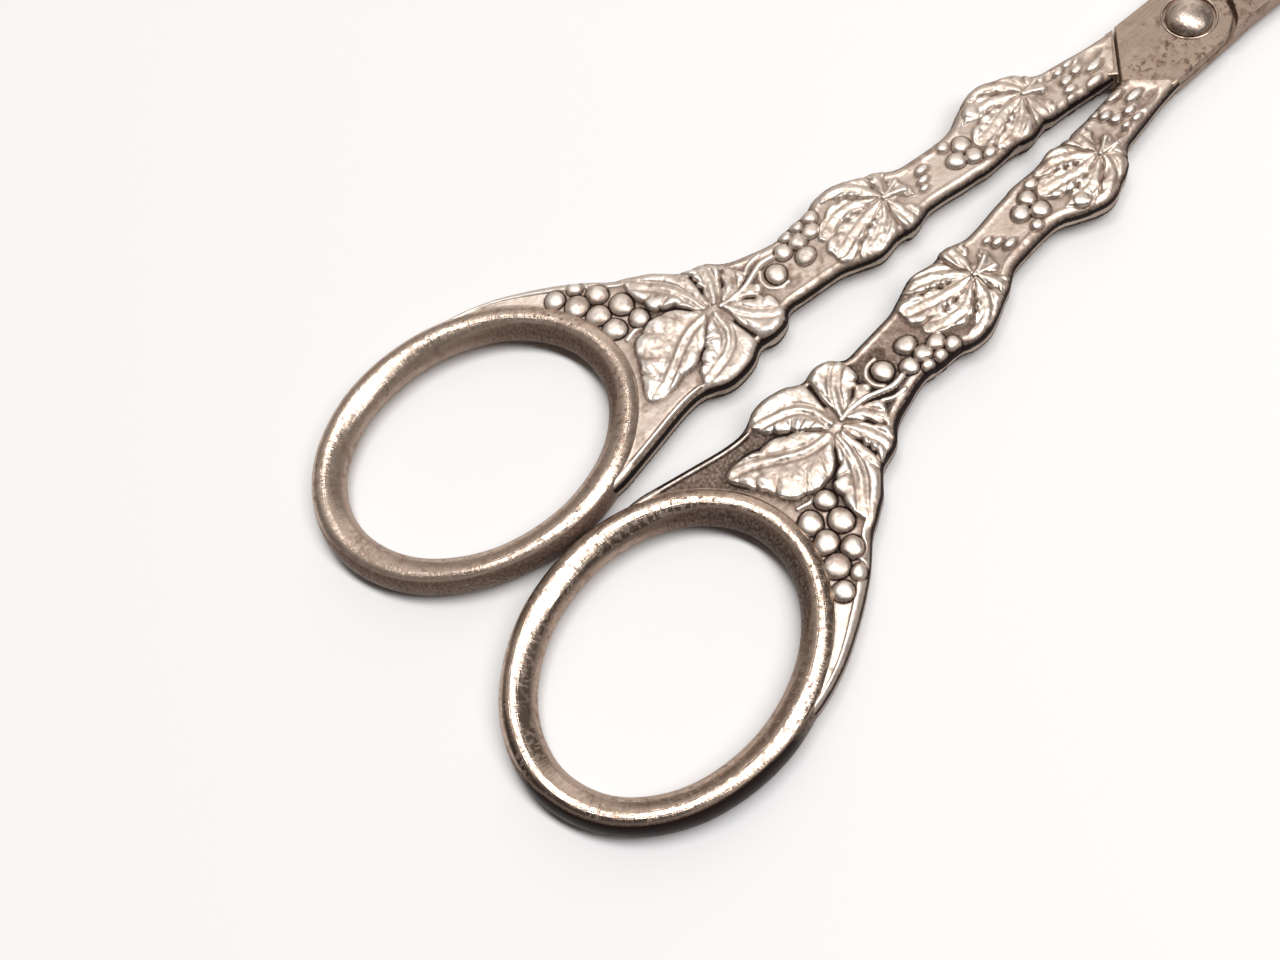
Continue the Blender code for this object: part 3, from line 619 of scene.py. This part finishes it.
def casting(name, side):
    """The shank and web of one arm, with their ornament on both faces."""
    loop, inner, outer = casting_loop()
    rim = len(loop)
    points, faces, marks, rims = [], [], [], []
    for sign, step in ((1, GRID), (-1, UNDER_GRID)):
        extra = hex_grid(loop, step)
        flat = triangles(loop, extra)
        places = np.vstack([loop, extra])
        height, edge = casting_height(places, inner, outer)
        if sign < 0:
            height = soft_cap(height, UNDER_CREST)
        start = len(points)
        points += [(x, y, sign * z) for (x, y), z in zip(places, height)]
        marks += list(patina_and_shade(places, height, edge, flat, side))
        first = places[flat[:, 0]]
        area = np.cross(places[flat[:, 1]] - first, places[flat[:, 2]] - first)
        for face, faces_out in zip(flat + start, area * sign > 0):
            faces.append(tuple(face) if faces_out else tuple(face[::-1]))
        rims.append((start, height[:rim]))
    (top_start, top), (under_start, under) = rims
    rows = [list(range(top_start, top_start + rim))]
    for share in (0.25, 0.5, 0.75):
        start = len(points)
        level = top * (1 - share) - under * share
        points += [(x, y, z) for (x, y), z in zip(loop, level)]
        # The walls are browned with tarnish and painted shade.
        marks += [WALL_TARNISH_AND_SHADE] * rim
        rows.append(list(range(start, start + rim)))
    rows.append(list(range(under_start, under_start + rim)))
    for upper, lower in zip(rows, rows[1:]):
        for i in range(rim):
            j = (i + 1) % rim
            faces.append((upper[i], lower[i], lower[j], upper[j]))
    return mesh_object(name, points, faces, side, marks)


def bow(name, side):
    """The finger bow: a drawn round bar along its oval, very slightly uneven as filed by hand."""
    steps, around = BOW_STEPS, BOW_AROUND
    angles = np.linspace(0, 2 * math.pi, steps, endpoint=False)
    line = bow_line(angles)
    out = outward(line)
    outer_most, inner_most = BOW_FLANK_TARNISH_AND_SHADE[side]
    points, faces, marks, flow = [], [], [], []
    for i in range(steps):
        for k in range(around):
            turn = 2 * math.pi * k / around
            uneven = 0.012 * math.sin(3 * angles[i] + 2 * turn) + 0.008 * math.sin(11 * angles[i] - turn)
            across = math.cos(turn)
            lean = BOW_CREST * (1 - across ** 2)
            reach = BOW_TUBE * (1 + uneven)
            shift = out[i] * (reach * across + lean)
            up = math.copysign(abs(math.sin(turn)) ** (1.0 if across > 0 else 1.12), math.sin(turn))
            points.append((line[i][0] + shift[0], line[i][1] + shift[1], reach * up))
            # Painted shade on the flanks: steep flanks darken, most of all those facing the room's dark
            # side, in place of their dark reflections; a little of it is tarnish.
            if across > 0:
                dark_side_share, most = rise(0.77 * side * out[i][0] - 0.64 * out[i][1] - 0.15, 0.7), outer_most
            else:
                dark_side_share, most = rise(0.99 * out[i][1] - 0.1 * side * out[i][0] - 0.15, 0.75), inner_most
            flank = 1 - rise(abs(up) - 0.5 - 0.33 * dark_side_share, 0.16)
            marks.append(flank * (WALL_TARNISH_AND_SHADE + (most - WALL_TARNISH_AND_SHADE) * dark_side_share))
            flow.append((BOW_TUBE * abs(turn - math.pi), BOW_MEAN * abs(angles[i] - math.pi), 0))
            j, m = (i + 1) % steps, (k + 1) % around
            faces.append((i * around + k, i * around + m, j * around + m, j * around + k))
    return mesh_object(name, points, faces, side, marks, flow)


def turned(name, profile):
    """A round piece about the pivot, from radius and height pairs."""
    steps = ROUND_STEPS
    points = [(0, 0, profile[0][1])]
    faces = []
    for radius, z in profile[1:-1]:
        for i in range(steps):
            angle = 2 * math.pi * i / steps
            points.append((radius * math.cos(angle), radius * math.sin(angle), z))
    last = len(points)
    points.append((0, 0, profile[-1][1]))
    rings = len(profile) - 2
    for i in range(steps):
        j = (i + 1) % steps
        faces.append((0, 1 + j, 1 + i))
        for r in range(rings - 1):
            a = 1 + r * steps
            b = a + steps
            faces.append((a + i, a + j, b + j, b + i))
        a = 1 + (rings - 1) * steps
        faces.append((a + i, a + j, last))
    return mesh_object(name, points, faces, 1)


def skin(bm, rows, outward_run=True):
    """Closes a body over rings of points: its side faces, then both ends."""
    for lower, upper in zip(rows, rows[1:]):
        for i in range(len(lower)):
            j = (i + 1) % len(lower)
            if outward_run:
                bm.faces.new((lower[i], lower[j], upper[j], upper[i]))
            else:
                bm.faces.new((lower[i], upper[i], upper[j], lower[j]))
    flip = -1 if outward_run else 1
    bm.faces.new(rows[0][::flip])
    bm.faces.new(rows[-1][::-flip])


def plate(name, outline, low, high, soft=0.0):
    """A flat plate with its outline's corners softly rounded at the top and bottom."""
    bm = bmesh.new()
    area = sum(a[0] * b[1] - b[0] * a[1] for a, b in zip(outline, outline[1:] + outline[:1]))
    outline = outline if area > 0 else outline[::-1]
    rings = [(0.0, low), (0.0, high)]
    if soft:
        turns = [math.radians(angle) for angle in (0, 30, 60, 90)]
        rounds = [(soft * (1 - math.cos(a)), soft * (1 - math.sin(a))) for a in turns]
        rings = [(inset, low + drop) for inset, drop in rounds[::-1]]
        rings += [(inset, high - drop) for inset, drop in rounds]
    rows = []
    count = len(outline)
    for inset, z in rings:
        row = []
        for i, here in enumerate(outline):
            back = Vector(here) - Vector(outline[i - 1])
            ahead = Vector(outline[(i + 1) % count]) - Vector(here)
            back, ahead = back.normalized(), ahead.normalized()
            normal = Vector((-back.y - ahead.y, back.x + ahead.x))
            reach = inset * 2 / max(normal.length_squared, 0.5)
            row.append(bm.verts.new((here[0] + normal.x * reach, here[1] + normal.y * reach, z)))
        rows.append(row)
    skin(bm, rows)
    return scratch(name, bm)


def scratch(name, bm):
    """A working object from a mesh under construction."""
    mesh = bpy.data.meshes.new(name)
    bm.to_mesh(mesh)
    bm.free()
    return placed(name, mesh)


def finished(thing):
    """The thing's mesh after its modifiers, which are then removed."""
    bpy.context.view_layer.update()
    depsgraph = bpy.context.evaluated_depsgraph_get()
    mesh = bpy.data.meshes.new_from_object(thing.evaluated_get(depsgraph))
    thing.modifiers.clear()
    return mesh


def combine(thing, tool, how):
    """Joins or cuts with a tool, which is used up."""
    step = thing.modifiers.new("step", "BOOLEAN")
    step.operation = how
    step.object = tool
    step.solver = "EXACT"
    thing.data = finished(thing)
    bpy.data.objects.remove(tool, do_unlink=True)


def blade_half(y):
    """Half the width of the closed blades."""
    table = (
        (0, 4.35), (4.5, 4.42), (9, 4.58), (13.4, 4.69), (17.9, 4.69), (23, 4.67), (28.2, 4.57),
        (33.3, 4.41), (38.4, 4.2), (43.5, 3.92), (48, 3.61), (51.8, 3.28), (55, 2.96), (57.6, 2.63),
        (59.5, 2.3), (61.1, 1.92), (62.4, 1.5), (63.4, 1.03), (BLADE_REACH, 0.47),
    )
    return float(np.interp(y, [row[0] for row in table], [row[1] for row in table]))


def blade_bar():
    """The blade: a back of full thickness, its lap, and the ground cutting bevel."""
    bm = bmesh.new()
    rows = []
    for y in list(np.linspace(2.3, 54, 46)) + list(np.linspace(54.8, BLADE_REACH, 16)):
        half = blade_half(y)
        top = (BLADE_THICK - TIP_THINNER * y ** 1.5 / BLADE_REACH ** 1.5) / 2
        right = min(EDGE_PAST, half)
        grind = min(max(y - BEVEL_START, 0) / BEVEL_RUN, 1)
        land = max(right - grind, -half * 0.4)
        soft = min(BLADE_ROUND, half * 0.3)
        ring = []
        for middle, angles in ((-top + soft, (270, 240, 210, 180)), (top - soft, (180, 150, 120, 90))):
            for turn in map(math.radians, angles):
                ring.append((-half + soft + soft * math.cos(turn), middle + soft * math.sin(turn)))
        low = EDGE_LEVEL + (top - EDGE_LEVEL) * (1 - grind)
        ring += [(land, top), (right, low), (right, -top)]
        rows.append([bm.verts.new((x, y, z)) for x, z in ring])
    skin(bm, rows, outward_run=False)
    return scratch("blade_bar", bm)


def bore():
    """The cutter for the rivet's hole and its wider seat."""
    bm = bmesh.new()
    rings = ((-4.0, HOLE_RADIUS), (SEAT_FLOOR, HOLE_RADIUS), (SEAT_FLOOR, SEAT_RADIUS), (4.0, SEAT_RADIUS))
    turns = np.linspace(0, 2 * math.pi, ROUND_STEPS, endpoint=False)
    skin(bm, [[bm.verts.new((radius * math.cos(a), radius * math.sin(a), z)) for a in turns]
              for z, radius in rings])
    return scratch("bore", bm)


def boss_plan():
    """The half boss from above: nose, shoulders, and the tongue that runs into the casting."""
    return [
        (-4.45, 4.2), (-4.5, 0.0), (-4.65, -5.9), (-0.36, -9.6), (0.36, -10.2), (0.9, -10.9),
        (4.68, -7.2), (4.6, -6.5), (4.6, -5.9), (4.55, -3.0), (4.45, 0.2),
        (4.2, 1.35), (3.75, 2.25), (3.1, 3.05), (2.2, 3.6), (1.3, 4.0), (1.3, 4.4), (-4.1, 4.4),
    ]


def lap_plan():
    """What the other arm needs free under this arm's half boss and beside its blade."""
    swept = 4.77
    turns = [math.radians(angle) for angle in range(136, 181, 4)]
    return [
        (-6.6, -10.6), (0.0, -10.6), (0.0, -10.2), (6.6, -4.55),
        (6.6, 66), (-1.6, 66), (-1.6, 4.5), (-1.9, 4.36),
    ] + [(swept * math.cos(turn), swept * math.sin(turn)) for turn in turns] + [(-6.6, 0.0)]


def boss_blade(name, side):
    """The half boss and blade of one arm; the left arm's is the right arm's turned over."""
    thing = plate(name, boss_plan(), -BOSS_TOP, BOSS_TOP, BOSS_ROUND)
    combine(thing, blade_bar(), "UNION")
    combine(thing, plate("lap", lap_plan(), -4, LAP), "DIFFERENCE")
    combine(thing, bore(), "DIFFERENCE")
    bevel = thing.modifiers.new("soft_edges", "BEVEL")
    bevel.width = 0.07
    bevel.segments = 2
    bevel.limit_method = "ANGLE"
    bevel.angle_limit = math.radians(40)
    mesh = finished(thing)
    bpy.data.objects.remove(thing, do_unlink=True)
    mesh.transform(Matrix.Translation(Vector(PIVOT)) @ Matrix.Diagonal((side * MM, MM, side * MM, 1)))
    mesh.name = name
    set_flow(mesh, (np.array([v.co for v in mesh.vertices]) - PIVOT) / MM)
    mesh.shade_smooth()
    mesh.set_sharp_from_angle(angle=math.radians(30))
    for face in mesh.polygons:
        face.use_smooth = abs(face.normal.z) < 0.9999
    mark_wall_tarnish_and_shade(mesh)
    return placed(name, mesh)


def mark_wall_tarnish_and_shade(mesh):
    """Keeps brown on steep surfaces: partly patina, partly painted shade."""
    set_marks(mesh, [0.14 * max(0.0, 1 - 2 * abs(normal.vector.z)) for normal in mesh.vertex_normals])


def rivet(name):
    """The rivet: its domed head in a turned seat, shank, and the closed end underneath."""
    angles = [math.radians(90 - step * 4.75) for step in range(1, 19)]
    rim = ((HEAD_RADIUS, CAP_BASE + 0.02), (HEAD_RADIUS - 0.05, CAP_SEAT), (PIN_RADIUS, CAP_SEAT))
    profile = [(0, HEAD_TOP)]
    for angle in angles:
        level = CAP_BASE + (HEAD_TOP - CAP_BASE) * math.sin(angle) ** 1.15
        profile.append((HEAD_RADIUS * math.cos(angle), level))
    profile += rim
    profile += [(radius, -level) for radius, level in rim[::-1]]
    for angle in angles[::-1]:
        level = CAP_BASE + (TAIL_TOP - CAP_BASE) * math.sin(angle)
        profile.append((HEAD_RADIUS * math.cos(angle), -level))
    profile.append((0, -TAIL_TOP))
    return turned(name, profile)


def seat_rim(name):
    """The thin raised ring left round the rivet's seat."""
    rows = ((2.66, 1.24), (2.68, 1.33), (2.76, 1.35), (2.84, 1.33), (2.9, 1.24))
    points, faces = [], []
    steps = 120
    for radius, z in rows:
        for i in range(steps):
            angle = 2 * math.pi * i / steps
            points.append((radius * math.cos(angle), radius * math.sin(angle), z))
    for r in range(len(rows)):
        for i in range(steps):
            j, s = (i + 1) % steps, (r + 1) % len(rows)
            faces.append((s * steps + i, s * steps + j, r * steps + j, r * steps + i))
    return mesh_object(name, points, faces, 1)


def mixed(tree, share, a, b):
    """A colour between a and b, each a colour or a socket."""
    step = tree.nodes.new("ShaderNodeMix")
    step.data_type = "RGBA"
    for socket, value in ((step.inputs[6], a), (step.inputs[7], b)):
        if isinstance(value, tuple):
            socket.default_value = (*value, 1)
        else:
            tree.links.new(value, socket)
    tree.links.new(share, step.inputs[0])
    return step.outputs[2]


def silver(name, tint, smooth, rough, film, cast):
    """Old silver plate: warm grey, rubbed bright on the crests, brown in the hollows and darkened with
    painted shade where the marks hold it, finely scratched.
    """
    material = bpy.data.materials.new(name)
    material.use_nodes = True
    tree = material.node_tree
    nodes, links = tree.nodes, tree.links
    shader = nodes["Principled BSDF"]
    shader.inputs["Specular IOR Level"].default_value = 0.15
    shader.inputs["Specular Tint"].default_value = (0.8, 0.74, 0.7, 1)
    grain = nodes.new("ShaderNodeAttribute")
    grain.attribute_name = "flow"
    place = grain.outputs["Vector"]

    def noise(scale, detail, stretch=(1, 1, 1), turn=0.0):
        mapping = nodes.new("ShaderNodeMapping")
        mapping.inputs["Scale"].default_value = stretch
        mapping.inputs["Rotation"].default_value = (0, 0, turn)
        texture = nodes.new("ShaderNodeTexNoise")
        texture.inputs["Scale"].default_value = scale
        texture.inputs["Detail"].default_value = detail
        links.new(place, mapping.inputs["Vector"])
        links.new(mapping.outputs["Vector"], texture.inputs["Vector"])
        return texture.outputs["Fac"]

    def ramp(value, low, high, out_low=0.0, out_high=1.0):
        step = nodes.new("ShaderNodeMapRange")
        step.inputs["From Min"].default_value = low
        step.inputs["From Max"].default_value = high
        step.inputs["To Min"].default_value = out_low
        step.inputs["To Max"].default_value = out_high
        links.new(value, step.inputs["Value"])
        return step.outputs["Result"]

    def work(how, a, b):
        step = nodes.new("ShaderNodeMath")
        step.operation = how
        for number, value in enumerate((a, b)):
            if isinstance(value, float):
                step.inputs[number].default_value = value
            else:
                links.new(value, step.inputs[number])
        return step.outputs["Value"]

    def times(a, b):
        return work("MULTIPLY", a, b)

    def blend(share, a, b):
        return mixed(tree, share, a, b)

    def shade(red, green, blue):
        return tint[0] * red, tint[1] * green, tint[2] * blue

    # Tint: broad patches, fine scratches that cross, streaks along the bar, blots and pits
    patches = ramp(noise(0.3, 4), 0.36, 0.7)
    fine = noise(3.2, 4)
    colour = blend(patches, tint, shade(0.9, 0.86, 0.82))
    scratches = noise(1.0, 3, (9, 0.35, 9), 0.12)
    crossing = noise(1.0, 2, (0.5, 7, 7), -0.35)
    worn = ramp(work("ADD", scratches, times(crossing, 0.5)), 0.6, 0.95)
    streaks = ramp(noise(1.0, 3, (3.2, 0.12, 3.2), -0.06), 0.35, 0.65)
    colour = blend(times(streaks, 0.25), colour, shade(0.72, 0.64, 0.58))
    blots = times(ramp(noise(0.9, 5), 0.48, 0.62), ramp(noise(0.16, 2), 0.4, 0.58))
    colour = blend(times(blots, 0.85), colour, shade(0.5, 0.42, 0.38))
    pits = ramp(noise(7.0, 2), 0.62, 0.72, 0.0, 0.5)
    colour = blend(pits, colour, shade(0.35, 0.35, 0.35))

    # Tarnish and painted shade: by the mark kept on each point; tarnish also in scattered spots
    tarnish_shade_node = nodes.new("ShaderNodeAttribute")
    tarnish_shade_node.attribute_name = "cavity"
    # depth is the kept mark: tarnish in hollows together with painted shade on walls, edges, grapes and
    # bow flanks
    depth = tarnish_shade_node.outputs["Fac"]
    spots = times(ramp(noise(1.9, 5), 0.5, 0.62), ramp(noise(0.22, 2), 0.4, 0.56))
    deep = work("MAXIMUM", ramp(depth, 0.12, 0.28), times(spots, 0.25 if cast else 0.75))
    dirt_and_shade = work("MAXIMUM", times(ramp(depth, 0.02, 0.18), ramp(fine, 0.3, 0.6, 0.7, 1.0)), deep)
    colour = blend(dirt_and_shade, colour, blend(deep, BROWN_TARNISH_AND_SHADE, BLACK_TARNISH_AND_SHADE))
    dull = work("MAXIMUM", work("ADD", times(dirt_and_shade, 0.5), film), deep)
    links.new(ramp(dull, 0.0, 1.0, 1.0, 0.0), shader.inputs["Metallic"])
    if cast:
        crest = ramp(times(depth, -1.0), 0.02, 0.12)
        colour = blend(crest, colour, RUBBED_SILVER)
    links.new(colour, shader.inputs["Base Color"])

    # Roughness and the fine unevenness of the surface
    gloss = work("ADD", ramp(patches, 0, 1, smooth, rough), times(worn, 0.07))
    gloss = work("ADD", gloss, times(blots, 0.1))
    gloss = work("ADD", gloss, times(dirt_and_shade, 0.25))
    links.new(gloss, shader.inputs["Roughness"])
    bump = nodes.new("ShaderNodeBump")
    bump.inputs["Strength"].default_value = 0.35
    bump.inputs["Distance"].default_value = 0.00004
    uneven = times(noise(1.3, 3), 4.0 if cast else 1.6)
    surface = work("ADD", times(fine, 0.6 if cast else 0.35), work("ADD", times(worn, 0.6), uneven))
    links.new(surface, bump.inputs["Height"])
    links.new(bump.outputs["Normal"], shader.inputs["Normal"])
    return material


def softbox():
    """A large soft lamp that shines straight down."""
    lamp = bpy.data.lights.new("key", "AREA")
    lamp.shape = "RECTANGLE"
    lamp.size, lamp.size_y = KEY_SIZE
    lamp.energy = KEY_POWER
    thing = placed("key", lamp)
    thing.location = KEY_PLACE
    thing.rotation_euler = (0, 0, math.radians(KEY_TURN))


def studio():
    """A pale table, a long soft lamp on the right, a pale wall on the left and a dark room."""
    bm = bmesh.new()
    for x, y in ((-1, -1), (1, -1), (1, 1), (-1, 1)):
        bm.verts.new((x * TABLE_HALF, y * TABLE_HALF, TABLE_LEVEL))
    bm.faces.new(bm.verts)
    floor = scratch("table", bm)
    cloth = bpy.data.materials.new("white_table")
    cloth.use_nodes = True
    shader = cloth.node_tree.nodes["Principled BSDF"]
    shader.inputs["Base Color"].default_value = (0.95, 0.95, 0.95, 1)
    shader.inputs["Roughness"].default_value = 0.9
    floor.data.materials.append(cloth)

    world = bpy.data.worlds.new("room")
    bpy.context.scene.world = world
    world.use_nodes = True
    nodes, links = world.node_tree.nodes, world.node_tree.links
    place = nodes.new("ShaderNodeTexCoord")
    axes = nodes.new("ShaderNodeSeparateXYZ")
    links.new(place.outputs["Generated"], axes.inputs["Vector"])

    def along(axis, start, full, a, b):
        share = nodes.new("ShaderNodeMapRange")
        share.interpolation_type = "SMOOTHSTEP"
        share.inputs["From Min"].default_value = start
        share.inputs["From Max"].default_value = full
        links.new(axes.outputs[axis], share.inputs["Value"])
        return mixed(world.node_tree, share.outputs["Result"], a, b)

    room = along("Y", 0.0, -0.2, DIM_ROOM, DARK_ROOM)
    room = along("X", 0.6, 0.85, room, DARK_ROOM)
    wall = along("Y", -0.05, 0.45, NEAR_WALL, FAR_WALL)
    wall = along("Y", -0.2, -0.5, wall, DARK_ROOM)
    wall = along("X", -0.6, -0.9, wall, WALL_FOOT)
    room = along("X", -0.22, -0.45, room, wall)
    links.new(room, nodes["Background"].inputs["Color"])
    softbox()


for side, arm in ((1, "right_arm"), (-1, "left_arm")):
    film = FILM[side]
    metal = silver(arm + "_silver", CASTING_SILVER, 0.32, 0.46, film + 0.04, True)
    bow_metal = silver(arm + "_bow_silver", BOW_SILVER, 0.1, 0.18, film, False)
    blade_metal = silver(arm + "_blade_silver", BLADE_SILVER, 0.24, 0.36, 0.08, False)
    for piece, finish in (
        (casting(arm + "_casting", side), metal),
        (bow(arm + "_bow", side), bow_metal),
        (boss_blade(arm + "_blade", side), blade_metal),
    ):
        piece.data.materials.clear()
        piece.data.materials.append(finish)
        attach(piece, arm)
        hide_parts(arm)
head_metal = silver("rivet_silver", RIVET_SILVER, 0.2, 0.3, 0.06, False)
head = rivet("pivot_rivet_head")
rim = seat_rim("right_arm_seat_rim")
mark_wall_tarnish_and_shade(head.data)
mark_wall_tarnish_and_shade(rim.data)
for piece, body, slot in ((head, "left_arm", "rivet_silver"), (rim, "right_arm", "arm_silver")):
    piece.data.materials.append(head_metal)
    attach(piece, body)
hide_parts("pivot_rivet")

studio()
camera = placed("camera", bpy.data.cameras.new("camera"))
camera.location = CAMERA_PLACE
camera.rotation_euler = CAMERA_TURN
camera.data.lens = CAMERA_LENS
camera.data.sensor_width = SENSOR_WIDTH
camera.data.clip_start = 0.01
bpy.context.scene.camera = camera
bpy.context.scene.view_settings.view_transform = "Standard"
